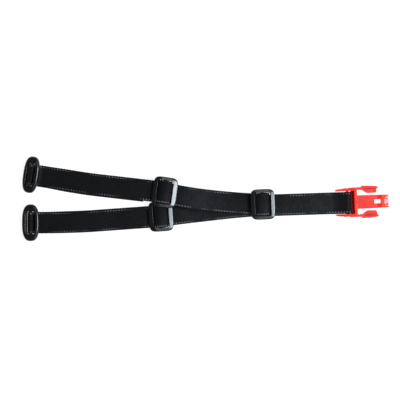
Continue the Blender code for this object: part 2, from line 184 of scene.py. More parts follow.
def along(knots, x):
    """Value and slope at x of a smooth line through (x, value, slope) knots, straight past its ends."""
    if x <= knots[0][0]:
        return knots[0][1] + knots[0][2] * (x - knots[0][0]), knots[0][2]
    for (x0, v0, m0), (x1, v1, m1) in zip(knots, knots[1:]):
        if x <= x1:
            span = x1 - x0
            t = (x - x0) / span
            value = (2 * t**3 - 3 * t**2 + 1) * v0 + (t**3 - 2 * t**2 + t) * span * m0
            value += (3 * t**2 - 2 * t**3) * v1 + (t**3 - t**2) * span * m1
            slope = (6 * t**2 - 6 * t) * (v0 - v1) / span
            slope += (3 * t**2 - 4 * t + 1) * m0 + (3 * t**2 - 2 * t) * m1
            return value, slope
    return knots[-1][1] + knots[-1][2] * (x - knots[-1][0]), knots[-1][2]


def superellipse(length, width, power, count):
    points = []
    for i in range(count):
        angle = 2 * math.pi * (i + 0.5) / count
        c = math.cos(angle)
        s = math.sin(angle)
        x = math.copysign(abs(c) ** (2 / power), c) * length / 2
        y = math.copysign(abs(s) ** (2 / power), s) * width / 2
        points.append((x, y))
    return points


def arc(middle, radius, start, stop, steps):
    points = []
    for degrees in spaced(start, stop, steps + 1):
        angle = math.radians(degrees)
        points.append((middle[0] + radius * math.cos(angle), middle[1] + radius * math.sin(angle)))
    return points


def lead(points, name, fill, height=0.0):
    """A primitive circle led onto an outline."""
    deselect()
    bpy.ops.mesh.primitive_circle_add(vertices=len(points), radius=0.01, fill_type=fill)
    piece = bpy.context.active_object
    piece.name = name
    for vert, (x, y) in zip(piece.data.vertices, points):
        vert.co = (x, y, height)
    return piece


def on_rim(edge):
    """True between a flat top or bottom and an upright wall."""
    if len(edge.link_faces) != 2:
        return False
    steep, level = sorted(abs(face.normal.z) for face in edge.link_faces)
    return steep < 0.3 and level > 0.95


def outward(normal, place):
    """Positive where a wall faces away from the piece's middle, negative round a window."""
    return normal.dot(Vector((place.x, place.y, 0.0)))


def rim_side(edge):
    wall = min(edge.link_faces, key=lambda face: abs(face.normal.z))
    return outward(wall.normal, (edge.verts[0].co + edge.verts[1].co) / 2)


def round_rims(piece, offset, steps, test=on_rim):
    begin(piece)
    pick(piece, "edges", test)
    bpy.ops.mesh.bevel(offset=offset, segments=steps, affect="EDGES", clamp_overlap=True)
    done()
    return piece


def raise_up(piece, rise):
    """Extrude a flat outline upwards into a closed block."""
    begin(piece, "FACE")
    bpy.ops.mesh.select_all(action="SELECT")
    bpy.ops.mesh.extrude_region_move(TRANSFORM_OT_translate={"value": (0.0, 0.0, rise)})
    bpy.ops.mesh.select_all(action="SELECT")
    bpy.ops.mesh.normals_make_consistent(inside=False)
    done()
    return piece


def slab(name, points, low, high, soft=0.0, steps=3):
    """A plate with a filled outline, its rims rounded."""
    piece = raise_up(lead(points, name, "NGON", low), high - low)
    return round_rims(piece, soft, steps) if soft else piece


def open_frame(name, outer, inner, low, high, outer_soft, inner_soft, steps=5):
    """A plate with a window: two outlines bridged and raised, with rounded rims and a parting line."""
    piece = lead(outer, name, "NOTHING", low)
    hole = lead(inner, name + "_hole", "NOTHING", low)
    activate(piece)
    hole.select_set(True)
    bpy.ops.object.join()
    begin(piece)
    bpy.ops.mesh.select_all(action="SELECT")
    bpy.ops.mesh.bridge_edge_loops()
    done()
    raise_up(piece, high - low)
    round_rims(piece, outer_soft, steps, lambda edge: on_rim(edge) and rim_side(edge) > 0)
    round_rims(piece, inner_soft, steps, lambda edge: on_rim(edge) and rim_side(edge) < 0)
    middle = (low + high) / 2
    begin(piece)
    bpy.ops.mesh.select_all(action="SELECT")
    bpy.ops.mesh.bisect(plane_co=(0.0, 0.0, middle), plane_no=(0.0, 0.0, 1.0))
    done()
    begin(piece, "VERT")
    pick(piece, "verts", lambda vert: abs(vert.co.z - middle) < TINY and outward(vert.normal, vert.co) > 0)
    bpy.ops.transform.shrink_fatten(value=PARTING_LINE)
    done()
    return piece


def apply_step(piece, step):
    activate(piece)
    bpy.ops.object.modifier_apply(modifier=step.name)


def combine(piece, tool, operation="UNION"):
    step = piece.modifiers.new("combine", "BOOLEAN")
    step.operation = operation
    step.object = tool
    step.solver = "EXACT"
    apply_step(piece, step)
    bpy.data.objects.remove(tool, do_unlink=True)
    return piece


def rod(name, radius, length, middle=(0.0, 0.0, 0.0)):
    """A round bar along Y, as a tool to join on or cut with."""
    deselect()
    bpy.ops.mesh.primitive_cylinder_add(vertices=32, radius=radius, depth=length, location=middle,
                                        rotation=(math.pi / 2, 0.0, 0.0))
    piece = bpy.context.active_object
    piece.name = name
    bpy.ops.object.transform_apply(location=True, rotation=True, scale=True)
    return piece


def block(name, low, high, soft=0.0, steps=3, sink=0.0):
    """A box between two corners, its edges rounded; its top may sink towards +X."""
    deselect()
    bpy.ops.mesh.primitive_cube_add(size=1.0)
    piece = bpy.context.active_object
    piece.name = name
    middle = (Vector(low) + Vector(high)) / 2
    size = Vector(high) - Vector(low)
    for vert in piece.data.vertices:
        vert.co = Vector(a * b for a, b in zip(vert.co, size)) + middle
        if vert.co.x > middle.x and vert.co.z > middle.z:
            vert.co.z -= sink
    if soft:
        begin(piece)
        bpy.ops.mesh.select_all(action="SELECT")
        bpy.ops.mesh.bevel(offset=soft, segments=steps, affect="EDGES", clamp_overlap=True)
        done()
    return piece


def finish_piece(piece, matrix, surface, angle=35):
    """Put a piece's place in its mesh, shade it with flat faces kept flat, and give it its material."""
    piece.data.transform(matrix)
    piece.matrix_world = Matrix.Identity(4)
    activate(piece)
    bpy.ops.object.shade_smooth_by_angle(angle=math.radians(angle))
    flat = piece.modifiers.new("flat_faces", "WEIGHTED_NORMAL")
    flat.keep_sharp = True
    apply_step(piece, flat)
    piece.data.materials.clear()
    piece.data.materials.append(surface)
    return piece


# ---------------------------------------------------------------- shader groups
def socket_colour(value):
    return (*value, 1.0)


class Graph:
    """Adds nodes to a tree and links them, with numbers or sockets as inputs."""

    def __init__(self, tree):
        self.tree = tree

    def add(self, kind, output=0, inputs=None, **settings):
        node = self.tree.nodes.new(kind)
        for key, value in settings.items():
            setattr(node, key, value)
        for key, value in (inputs or {}).items():
            target = node.inputs[key]
            if isinstance(value, bpy.types.NodeSocket):
                self.tree.links.new(value, target)
            else:
                target.default_value = value
        return node.outputs[output]

    def math(self, operation, a, b=0.0, c=0.0):
        return self.add("ShaderNodeMath", 0, {0: a, 1: b, 2: c}, operation=operation)

    def mix(self, factor, a, b):
        return self.add("ShaderNodeMix", "Result", {"Factor": factor, "A": a, "B": b}, data_type="RGBA")

    def noise(self, vector, scale, detail=2.0, roughness=0.5):
        inputs = {"Vector": vector, "Scale": scale, "Detail": detail, "Roughness": roughness}
        return self.add("ShaderNodeTexNoise", 0, inputs)

    def remap(self, value, low, high, to_low=0.0, to_high=1.0):
        inputs = {"Value": value, "From Min": low, "From Max": high, "To Min": to_low, "To Max": to_high}
        return self.add("ShaderNodeMapRange", 0, inputs)


def group(name, inputs, outputs):
    """A shader group with its sockets; returns its tree, its graph and both ends."""
    tree = bpy.data.node_groups.new(name, "ShaderNodeTree")
    for label, kind in inputs:
        tree.interface.new_socket(label, in_out="INPUT", socket_type=kind)
    for label, kind in outputs:
        tree.interface.new_socket(label, in_out="OUTPUT", socket_type=kind)
    return tree, Graph(tree), tree.nodes.new("NodeGroupInput"), tree.nodes.new("NodeGroupOutput")


VALUE = "NodeSocketFloat"
COLOUR = "NodeSocketColor"
VECTOR = "NodeSocketVector"

# Scales of the noises, in features to the metre.
FIBRE_SCALE = 6500.0
FLECK_SCALE = 1000.0
MOTTLE_SCALE = 430.0
LOOP_WEAR_SCALE = 38.0              # stretches of the selvedge whose loops show and don't show
FLECK_PATCH_SCALE = 33.0
CLOTH_PATCH_SCALE = 24.0
GRAIN_SCALE = 4200.0
RIPPLE_SCALE = 210.0
MOULDING_PATCH_SCALE = 60.0
SCRATCH_SCALE = (90.0, 3800.0, 900.0)
SCRATCH_TURN = 0.6


def weave_group():
    """Plain-woven webbing: yarns that rise and dip in turn, their fibres and their wear, with painted shade
    between the yarns and painted light on their tops.

    Cloth is the place on the strap in metres, along it and across it from its middle.
    """
    tree, g, start, end = group(
        "webbing_weave",
        [("Cloth", VECTOR), ("Pick", VALUE), ("Rib", VALUE),
         ("Deep", COLOUR), ("Raised", COLOUR), ("Loop", COLOUR)],
        [("Color", COLOUR), ("Height", VALUE), ("Roughness", VALUE)],
    )
    cloth = start.outputs["Cloth"]
    split = tree.nodes.new("ShaderNodeSeparateXYZ")
    tree.links.new(cloth, split.inputs[0])
    rows = g.math("MULTIPLY", g.math("DIVIDE", split.outputs["X"], start.outputs["Pick"]), math.pi)
    columns = g.math("MULTIPLY", g.math("DIVIDE", split.outputs["Y"], start.outputs["Rib"]), math.pi)
    yarn = g.math("MULTIPLY", g.math("COSINE", rows), g.math("COSINE", columns))
    over = g.remap(yarn, -0.8, 0.9)
    gap = g.math("POWER", g.math("ABSOLUTE", g.math("COSINE", columns)), 0.5)
    twist = g.math("ADD", g.math("MULTIPLY", rows, 3.0), g.math("MULTIPLY", columns, 2.0))
    ply = g.remap(g.math("SINE", twist), -1.0, 1.0, 0.75, 1.0)
    fibre = g.noise(cloth, FIBRE_SCALE, 3.0, 0.7)
    patch = g.remap(g.noise(cloth, CLOTH_PATCH_SCALE, 3.0, 0.6), 0.35, 0.65)
    fleck = g.remap(g.noise(cloth, FLECK_SCALE, 2.0, 0.6), 0.57, 0.68)
    fleck = g.math("MULTIPLY", fleck, g.remap(g.noise(cloth, FLECK_PATCH_SCALE, 2.0, 0.6), 0.48, 0.62))
    # painted light and shade: raised yarns lighter, gaps and ply twists darker, mixed with the yarns' own
    # random tone
    lit = g.math("MULTIPLY", over, g.remap(fibre, 0.25, 0.75, 0.25, 0.60))
    lit = g.math("MULTIPLY", lit, g.remap(patch, 0.0, 1.0, 0.4, 1.4))
    mottle = g.remap(g.noise(cloth, MOTTLE_SCALE, 3.0, 0.65), 0.32, 0.68)
    lit = g.math("MULTIPLY", lit, g.remap(mottle, 0.0, 1.0, 0.35, 1.65))
    lit = g.math("MULTIPLY", lit, g.math("MULTIPLY", ply, g.remap(gap, 0.0, 1.0, 0.6, 1.0)))
    lit = g.math("MAXIMUM", lit, fleck)
    colour = g.mix(lit, start.outputs["Deep"], start.outputs["Raised"])
    beat = g.math("COSINE", g.math("MULTIPLY", split.outputs["X"], 2 * math.pi / LOOP_PITCH))
    inset = g.math("ABSOLUTE", g.math("SUBTRACT", g.math("ABSOLUTE", split.outputs["Y"]), LOOP_LINE))
    loops = g.math("MULTIPLY", g.remap(beat, 0.2, 0.9), g.remap(inset, LOOP_HALF, LOOP_HALF / 2))
    loops = g.math("MULTIPLY", loops, g.remap(g.noise(cloth, LOOP_WEAR_SCALE, 2.0, 0.6), 0.44, 0.58))
    tree.links.new(g.mix(loops, colour, start.outputs["Loop"]), end.inputs["Color"])
    height = g.math("MULTIPLY_ADD", fibre, 0.25, g.math("MULTIPLY", ply, 0.5))
    height = g.math("MULTIPLY_ADD", gap, 0.5, height)
    tree.links.new(g.math("MULTIPLY_ADD", over, 0.6, height), end.inputs["Height"])
    dry = g.math("ADD", g.remap(mottle, 0.0, 1.0, 0.08, -0.08), g.remap(patch, 0.0, 1.0, 0.07, -0.07))
    tree.links.new(g.math("ADD", g.remap(lit, 0.0, 0.5, 0.66, 0.50), dry), end.inputs["Roughness"])
    return tree


def moulding_group():
    """Moulded plastic: fine grain, soft ripple, hair scratches, paler, drier edges, and painted shade that
    darkens its recesses.
    """
    tree, g, start, end = group(
        "moulded_surface",
        [("Place", VECTOR), ("Base", COLOUR), ("Worn", COLOUR), ("Dirt", COLOUR),
         ("Gloss", VALUE), ("Scratch", VALUE)],
        [("Color", COLOUR), ("Height", VALUE), ("Roughness", VALUE)],
    )
    place = start.outputs["Place"]
    grain = g.noise(place, GRAIN_SCALE, 2.0, 0.6)
    ripple = g.noise(place, RIPPLE_SCALE, 2.0, 0.5)
    patch = g.noise(place, MOULDING_PATCH_SCALE, 4.0, 0.6)
    stretched = g.add("ShaderNodeMapping", 0, {"Vector": place, "Rotation": (0.0, 0.0, SCRATCH_TURN),
                                               "Scale": SCRATCH_SCALE})
    hair = g.remap(g.noise(stretched, 1.0, 3.0, 0.7), 0.62, 0.74)
    hair = g.math("MULTIPLY", hair, start.outputs["Scratch"])
    bend = tree.nodes.new("ShaderNodeNewGeometry").outputs["Pointiness"]
    worn = g.math("MULTIPLY", g.remap(bend, 0.53, 0.62), g.remap(patch, 0.35, 0.65, 0.3, 1.0))
    worn = g.math("MAXIMUM", g.math("MULTIPLY", worn, 0.6), g.math("MULTIPLY", hair, 0.35))
    # painted shade: concave places, found by pointiness, are darkened towards the shade colour as if shade
    # fell in them
    recess_shade_mask = g.remap(bend, 0.485, 0.42, 0.0, 0.75)
    shade = g.mix(g.remap(patch, 0.25, 0.8, 0.0, 0.25), start.outputs["Base"], start.outputs["Worn"])
    shade = g.mix(recess_shade_mask, shade, start.outputs["Dirt"])
    tree.links.new(g.mix(worn, shade, start.outputs["Worn"]), end.inputs["Color"])
    height = g.math("MULTIPLY_ADD", ripple, 1.6, g.math("MULTIPLY", grain, 0.35))
    tree.links.new(g.math("SUBTRACT", height, g.math("MULTIPLY", hair, 0.5)), end.inputs["Height"])
    rough = g.math("ADD", start.outputs["Gloss"], g.remap(patch, 0.2, 0.8, -0.04, 0.07))
    rough = g.math("ADD", rough, g.math("MULTIPLY", worn, 0.25))
    tree.links.new(rough, end.inputs["Roughness"])
    return tree


WEAVE = weave_group()
MOULDING = moulding_group()


def new_material(name):
    made = bpy.data.materials.new(name)
    made.use_nodes = True
    shader = made.node_tree.nodes["Principled BSDF"]
    return made, Graph(made.node_tree), shader


def place_group(graph, tree, inputs):
    node = graph.tree.nodes.new("ShaderNodeGroup")
    node.node_tree = tree
    for key, value in inputs.items():
        if isinstance(value, bpy.types.NodeSocket):
            graph.tree.links.new(value, node.inputs[key])
        else:
            node.inputs[key].default_value = value
    return node


WEAVE_BUMP = (0.8, 0.00012)         # strength, and height in metres
MOULDING_BUMP = (0.22, 0.00003)


def wire_surface(graph, shader, node, bump_size):
    links = graph.tree.links
    links.new(node.outputs["Color"], shader.inputs["Base Color"])
    links.new(node.outputs["Roughness"], shader.inputs["Roughness"])
    strength, distance = bump_size
    bump = graph.add("ShaderNodeBump", 0, {"Strength": strength, "Distance": distance,
                                           "Height": node.outputs["Height"]})
    links.new(bump, shader.inputs["Normal"])


def webbing_material(name, gap_shade, raised, loop, pick, rib):
    """Painted shade between the yarns, the colours on them and on the selvedge's loops; then the two yarn
    spacings.
    """
    made, graph, shader = new_material(name)
    cloth = graph.add("ShaderNodeTexCoord", "UV")
    node = place_group(graph, WEAVE, {"Cloth": cloth, "Deep": socket_colour(gap_shade),
                                      "Raised": socket_colour(raised), "Loop": socket_colour(loop),
                                      "Pick": pick, "Rib": rib})
    wire_surface(graph, shader, node, WEAVE_BUMP)
    shader.inputs["Specular IOR Level"].default_value = 0.125
    shader.inputs["Sheen Weight"].default_value = 0.02
    shader.inputs["Sheen Roughness"].default_value = 0.5
    shader.inputs["Sheen Tint"].default_value = (0.7, 0.8, 1.0, 1.0)
    return made


def plastic_material(name, base, worn, recess_shade, gloss, scratch, specular=0.5, glow=0.0):
    """Gloss is the roughness, and glow is how much light goes into the plastic and out again."""
    made, graph, shader = new_material(name)
    place = graph.add("ShaderNodeTexCoord", "Object")
    node = place_group(graph, MOULDING, {"Place": place, "Base": socket_colour(base),
                                         "Worn": socket_colour(worn), "Gloss": gloss,
                                         "Dirt": socket_colour(recess_shade), "Scratch": scratch})
    wire_surface(graph, shader, node, MOULDING_BUMP)
    shader.inputs["Specular IOR Level"].default_value = specular
    shader.inputs["Subsurface Weight"].default_value = glow
    shader.inputs["Subsurface Scale"].default_value = 0.002
    shader.inputs["Subsurface Radius"].default_value = (1.0, 0.08, 0.05)
    return made


RIB = (WEB_WIDTH - 2 * WEB_HALF_THICK) / (COLUMNS - 1)
THREAD_PICK = 0.0004
THREAD_RIB = 0.0003
# the first colour of each webbing is the painted shade between its yarns
BLACK_WEBBING = webbing_material("black_webbing_weave", (0.0008, 0.0008, 0.0011),
                                 (0.0105, 0.0118, 0.0155), (0.20, 0.215, 0.23), PICK, RIB)
BLACK_THREAD = webbing_material("black_sewing_thread", (0.003, 0.003, 0.004),
                                (0.016, 0.016, 0.019), (0.016, 0.016, 0.019), THREAD_PICK, THREAD_RIB)
# the third colour given to each plastic is painted shade for its recesses and grooves
BLACK_ACETAL = plastic_material("black_acetal", (0.0025, 0.0025, 0.0030), (0.022, 0.022, 0.025),
                                (0.0012, 0.0012, 0.0014), gloss=0.22, scratch=0.5)
RED_ACETAL = plastic_material("red_acetal", (0.72, 0.017, 0.007), (0.82, 0.06, 0.035),
                              (0.28, 0.004, 0.004), gloss=0.30, scratch=0.35, specular=0.38, glow=0.35)


# ---------------------------------------------------------------- webbing
def strand(heights, xs, shifts=((0.0, 0.0, 0.0),)):
    """Stations (x, height, shift to the side) of a strand, from its knots."""
    return [(x, along(heights, x)[0], along(shifts, x)[0]) for x in xs]


def wrap(bar_x, bar_height, start, stop):
    """Stations round a bar; degrees from straight up, positive towards +X."""
    stations = []
    for degrees in spaced(start, stop, 2 * round(abs(stop - start) / 18) + 1):
        angle = math.radians(degrees)
        height = bar_height + WRAP_RADIUS * math.cos(angle)
        stations.append((bar_x + WRAP_RADIUS * math.sin(angle), height, 0.0))
    return stations


def wrap_end(bar_x, bar_height, degrees, reach, mid):
    """Two knots of a strand that leaves a bar at an angle and comes down to a mid height."""
    angle = math.radians(degrees)
    x = bar_x + WRAP_RADIUS * math.sin(angle)
    return [(x, bar_height + WRAP_RADIUS * math.cos(angle), -math.tan(angle)), (bar_x + reach, mid, 0.0)]


def section(round_steps=3):
    """The webbing's cross-section as (across, up, column): crowned flats and round edges."""
    half = WEB_WIDTH / 2
    flat = half - WEB_HALF_THICK
    points = []
    for side in (1, -1):
        for column, across in enumerate(spaced(-side * flat, side * flat, COLUMNS)):
            crown = 1.0 - WEB_CROWN * (across / half) ** 2
            points.append((across, side * WEB_HALF_THICK * crown, column))
        for angle in spaced(math.pi / 2, -math.pi / 2, round_steps + 2)[1:-1]:
            edge = flat + WEB_HALF_THICK * math.cos(angle)
            points.append((side * edge, side * WEB_HALF_THICK * (1.0 - WEB_CROWN) * math.sin(angle), None))
    return points


def webbing(name, plan, stations, shift=JUNCTION_SHIFT, dip=SELVEDGE_DIP, bulge=0.0):
    """Sweep the section along the stations of a strap, with its yarns and looped selvedges.

    A strap that is pressed flatter in its middle is wider there, by bulge. Returns the strap and
    its length.
    """
    outline = section()
    size = len(outline)
    verts = []
    runs = []
    run = 0.0
    last = len(stations) - 1
    centres = []
    acrosses = []
    for x, height, side in stations:
        middle, slope = along(plan, x)
        across = Vector((-slope, 1.0, 0.0)).normalized()
        centres.append(Vector((x, middle, height)) + across * side + shift)
        acrosses.append(across)
    for i, (centre, across) in enumerate(zip(centres, acrosses)):
        if i:
            run += (centre - centres[i - 1]).length
        forward = centres[min(i + 1, last)] - centres[max(i - 1, 0)]
        up = across.cross(-forward).normalized()
        wider = 1.0 + bulge * (0.6 + 0.4 * math.sin(math.pi * i / last))
        scallop = dip * (math.cos(2 * math.pi * run / SELVEDGE_PITCH) - 1) / 2
        for a, n, column in outline:
            lift = 0.0 if column is None else math.copysign(YARN_RISE * (-1) ** (i + column), n)
            inset = math.copysign(scallop, a) if column is None else 0.0
            verts.append(centre + across * (a * wider + inset) + up * (n + lift))
            runs.append((i * PICK, a))
    faces = [tuple(range(size)), tuple(range(last * size, (last + 1) * size))]
    for i in range(last):
        for j in range(size):
            k = (j + 1) % size
            faces.append((i * size + j, i * size + k, (i + 1) * size + k, (i + 1) * size + j))
    mesh = bpy.data.meshes.new(name)
    mesh.from_pydata(verts, [], faces)
    layer = mesh.uv_layers.new(name="UVMap")
    for loop in mesh.loops:
        layer.data[loop.index].uv = runs[loop.vertex_index]
    shape = bmesh.new()
    shape.from_mesh(mesh)
    bmesh.ops.recalc_face_normals(shape, faces=shape.faces)
    shape.to_mesh(mesh)
    shape.free()
    piece = bpy.data.objects.new(name, mesh)
    bpy.context.scene.collection.objects.link(piece)
    activate(piece)
    bpy.ops.object.shade_smooth_by_angle(angle=math.radians(60))
    mesh.materials.append(BLACK_WEBBING)
    return piece, run


def climb(x, base):
    return base + UPPER_CLIMB * (x - UPPER_CLIMB_FOOT)


def branch(label, plan, top_heights, low_heights, return_end, return_shift):
    """A branch from the junction round its ring's bar and back underneath, a little to one side."""
    bar_x = plan[0][0]
    bar_height = RING_BAR_HEIGHT[label]
    leave = wrap_end(bar_x, bar_height, RING_LEAVE[label], RING_REACH[label], SECOND_MID)
    meet = wrap_end(bar_x, bar_height, UNDER_RING_LEAVE, UNDER_RING_REACH, FLOOR_MID)
    shifts = [(meet[1][0], 0.0, 0.0), (bar_x + 0.035, return_shift, 0.0), (return_end, return_shift, 0.0)]
    stations = strand(leave + top_heights, stepped(BRANCH_END, leave[0][0], PICK)[:-1])
    stations += wrap(bar_x, bar_height, RING_LEAVE[label], UNDER_RING_LEAVE)
    stations += strand(meet + low_heights, stepped(meet[0][0], return_end, PICK)[1:], shifts)
    return webbing(label + "_branch_strap", plan, stations)


upper_branch, upper_run = branch(
    "upper", UPPER_PLAN,
    [(UPPER_CLIMB_START, climb(UPPER_CLIMB_START, SECOND_MID), UPPER_CLIMB),
     (UPPER_CLIMB_TOP, climb(UPPER_CLIMB_TOP, SECOND_MID), UPPER_CLIMB),
     (0.0240, SECOND_MID, 0.0), (BRANCH_END, SECOND_MID, 0.0)],
    [(UPPER_CLIMB_START, climb(UPPER_CLIMB_START, FLOOR_MID), UPPER_CLIMB),
     (UPPER_RETURN_END, climb(UPPER_RETURN_END, FLOOR_MID), UPPER_CLIMB)],
    UPPER_RETURN_END, -0.0009)
lower_branch, lower_run = branch(
    "lower", LOWER_PLAN,
    [(-0.0300, SECOND_MID, 0.0), (-0.0040, FLOOR_MID, 0.0), (BRANCH_END, FLOOR_MID, 0.0)],
    [(LOWER_RETURN_END, FLOOR_MID, 0.0)], LOWER_RETURN_END, 0.0004)


def tail_strap():
    """The tail from the junction round the buckle's bar and back underneath."""
    bar_x = TAIL_PLAN[-1][0]
    bar_height = JOINTS["buckle_pivot"]["pos_m"][2]
    leave = wrap_end(bar_x, bar_height, BUCKLE_LEAVE, -0.0160, SECOND_MID)
    meet = wrap_end(bar_x, bar_height, UNDER_BUCKLE_LEAVE, -0.0090, FLOOR_MID)
    drop = TAIL_DROP_END - TAIL_START
    top = [(TAIL_START, TAIL_HEIGHT, TAIL_DROP), (TAIL_DROP_END, TAIL_HEIGHT + TAIL_DROP * drop, TAIL_DROP),
           leave[1], leave[0]]
    low = [(TAIL_RETURN_START, FLOOR_MID, 0.0), meet[1], meet[0]]
    stations = strand(top, stepped(TAIL_START, leave[0][0], PICK)[:-1])
    stations += wrap(bar_x, bar_height, BUCKLE_LEAVE, UNDER_BUCKLE_LEAVE)
    stations += strand(low, stepped(meet[0][0], TAIL_RETURN_START, PICK)[1:])
    return webbing("tail_strap", TAIL_PLAN, stations, dip=TAIL_SELVEDGE_DIP)


tail, tail_run = tail_strap()

for piece, run, node, body in (
    (upper_branch, upper_run, "upper_branch_webbing", "upper_branch"),
    (lower_branch, lower_run, "lower_branch_webbing", "lower_branch"),
):
    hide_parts(node)
    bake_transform(piece)
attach(tail, "tail")
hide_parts("tail_webbing")


# ---------------------------------------------------------------- end rings
UPRIGHT = Matrix.Rotation(math.pi / 2, 4, "X")     # turns a bar along Y to stand along Z


def end_ring(label):
    """An oval ring with a bar across it for its strap, leaning as it lies."""
    width, length, thick = RING_SIZE
    outer = superellipse(width, length, 2.6, 88)
    inner = [(x + RING_WINDOW_MIDDLE, y) for x, y in superellipse(*RING_WINDOW, 8.0, 88)]
    ring = open_frame(label + "_end_ring_moulding", outer, inner, -thick / 2, thick / 2,
                      RING_ROUND, RING_WINDOW_ROUND)
    combine(ring, rod("ring_bar", BAR_RADIUS, RING_WINDOW[1] + 0.003))
    # the dark shelf that stands in for shade in the window's left gap
    combine(ring, block("shelf", *RING_SHADE_SHELF))
    for side in (1, -1):
        mark = rod("pin_mark", *PIN_MARK_SIZE)
        mark.data.transform(Matrix.Translation((0.0, side * PIN_MARK_PLACE, thick / 2)) @ UPRIGHT)
        combine(ring, mark, "DIFFERENCE")
    joint = JOINTS[label + "_ring_tilt"]
    bar = Vector(joint["axis"])
    turn = Matrix.Rotation(math.atan2(bar.x, -bar.y), 4, "Z")
    matrix = Matrix.Translation(joint["pos_m"]) @ turn @ Matrix.Rotation(-RING_TILT[label], 4, "Y")
    finish_piece(ring, matrix, BLACK_ACETAL)
    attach(ring, label + "_ring")
    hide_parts(label + "_end_ring")


for label in ("upper", "lower"):
    end_ring(label)


# ---------------------------------------------------------------- sliders
CUT_SHIFT = 0.00013                 # keeps the cuts that let a slider bow off the outline's corners
SLIDER_ROUND = 0.0008
SLIDER_WINDOW_ROUND = 0.0003
SLIDER_RISE = 0.0011                # how far a slider's face stands up at its middle
FACE_BOW = (0.0012, 0.0082)         # its slope starts and is full at these distances from the middle
LEFT_BOW_SLOPE = 0.26
BACK_RISE = 0.0008                  # and the same for its back
BACK_BOW = (0.0030, 0.0070)
BACK_BOW_SLOPE = 0.30
RAIL_START = 0.0112                 # the faces of the two rails slope outwards from here
RAIL_SLOPE = 0.20
SLIDER_BAR = ((-0.0017, -0.0120, -0.00115), (0.0017, 0.0120, 0.00025))
HUMP_HALF = 0.0066                  # the webbing arched over a slider's bar: half length, height, width
HUMP_RISE = 0.0024
HUMP_BULGE = 0.088
HUMP_SHIFT = -0.0006
HUMP_FOOT = -0.00055


def bow(x, slope, start, full):
    """How far a bowed frame has come down at x: flat, then turning, then a straight slope."""
    turning = full - start
    t = min(max((abs(x) - start) / turning, 0.0), 1.0)
    return slope * (turning * (t**3 - t**4 / 2) + max(abs(x) - full, 0.0))


def slider(label, turn, slope, right_bow):
    """A slider that leans with its strap, and the stretch of webbing arched over its bar."""
    width, length, thick = SLIDER_SIZE
    outer = superellipse(width, length, 5.0, 104)
    inner = superellipse(*SLIDER_WINDOW, 9.0, 104)
    plate = open_frame(label + "_slider_moulding", outer, inner, -thick / 2, thick / 2,
                       SLIDER_ROUND, SLIDER_WINDOW_ROUND)
    for cut_x in spaced(-0.0100, 0.0100, 21):
        begin(plate)
        bpy.ops.mesh.select_all(action="SELECT")
        bpy.ops.mesh.bisect(plane_co=(cut_x + CUT_SHIFT, 0.0, 0.0), plane_no=(1.0, 0.0, 0.0))
        done()
    for vert in plate.data.vertices:
        up = (vert.co.z + thick / 2) / thick
        face_slope = right_bow + slope if vert.co.x > 0 else LEFT_BOW_SLOPE
        vert.co.z -= up * RAIL_SLOPE * max(0.0, abs(vert.co.y) - RAIL_START)
        vert.co.z += up * (SLIDER_RISE - bow(vert.co.x, face_slope, *FACE_BOW))
        vert.co.z += (1 - up) * max(0.0, BACK_RISE - bow(vert.co.x, BACK_BOW_SLOPE, *BACK_BOW))
    combine(plate, block("slider_bar", *SLIDER_BAR, SLIDER_WINDOW_ROUND))
    low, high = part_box(label + "_slider")
    lean = Matrix.Rotation(turn, 4, "Z") @ Matrix.Rotation(-math.atan(slope), 4, "Y")
    matrix = Matrix.Translation((low + high) / 2) @ lean
    finish_piece(plate, matrix, BLACK_ACETAL)
    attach(plate, label + "_slider")
    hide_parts(label + "_slider")

    stations = []
    for x in stepped(-HUMP_HALF, HUMP_HALF, PICK * 0.75):
        rise = HUMP_RISE * max(0.0, 1 - (x / (HUMP_HALF * 1.01)) ** 2) ** 0.8
        stations.append((x + HUMP_SHIFT, rise + HUMP_FOOT, 0.0))
    hump, run = webbing(label + "_slider_strap", [(0.0, 0.0, 0.0)], stations, Vector(), bulge=HUMP_BULGE)
    hump.data.transform(matrix)
    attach(hump, label + "_slider")
    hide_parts(label + "_slider_webbing")


slider("upper", math.radians(-8.0), UPPER_CLIMB, 0.38)
slider("lower", math.radians(3.6), 0.0, 0.33)
slider("junction", math.radians(2.2), TAIL_DROP, 0.22)


# ---------------------------------------------------------------- buckle
BUCKLE_TURN = math.atan2(JOINTS["buckle_pivot"]["axis"][0], -JOINTS["buckle_pivot"]["axis"][1])
BUCKLE_PLACE = Matrix.Translation(JOINTS["buckle_pivot"]["pos_m"]) @ Matrix.Rotation(BUCKLE_TURN, 4, "Z")

# Outlines from above, with the buckle's bar at the origin and its tongue towards +X.
TONGUE_SIDE = [(0.0076, 0.0064), (0.0270, 0.0062), (0.0365, 0.0060)]
TIP_CORNER = [(0.0380, 0.0060), (0.0385, 0.0058)]
NOTCH = arc((0.0392, 0.0), 0.0054, 95, 165, 9)
WING = [(-0.0116, 0.0116), (-0.0110, 0.0120), (-0.0104, 0.0123), (-0.0080, 0.0128), (-0.0020, 0.0131),
        (0.0000, 0.0133), (0.0020, 0.0137), (0.0040, 0.01385), (0.0086, 0.01385)]
STRAP_BAY = [(-0.0110, -0.0108), (0.0058, -0.0108), (0.0058, 0.0108), (-0.0110, 0.0108)]
ARM = [(0.0080, 0.0116), (0.0136, 0.0113), (0.0146, 0.0106), (0.0180, 0.0083), (0.0188, 0.0081),
       (0.0260, 0.0083), (0.0265, 0.0087), (0.0269, 0.0098), (0.0270, 0.0118), (0.0280, 0.0123),
       (0.0284, 0.0130), (0.0282, 0.0138), (0.0262, 0.0145), (0.0200, 0.0150), (0.0142, 0.0152),
       (0.0134, 0.0150), (0.0131, 0.0143), (0.0128, 0.0139), (0.0080, 0.01385)]
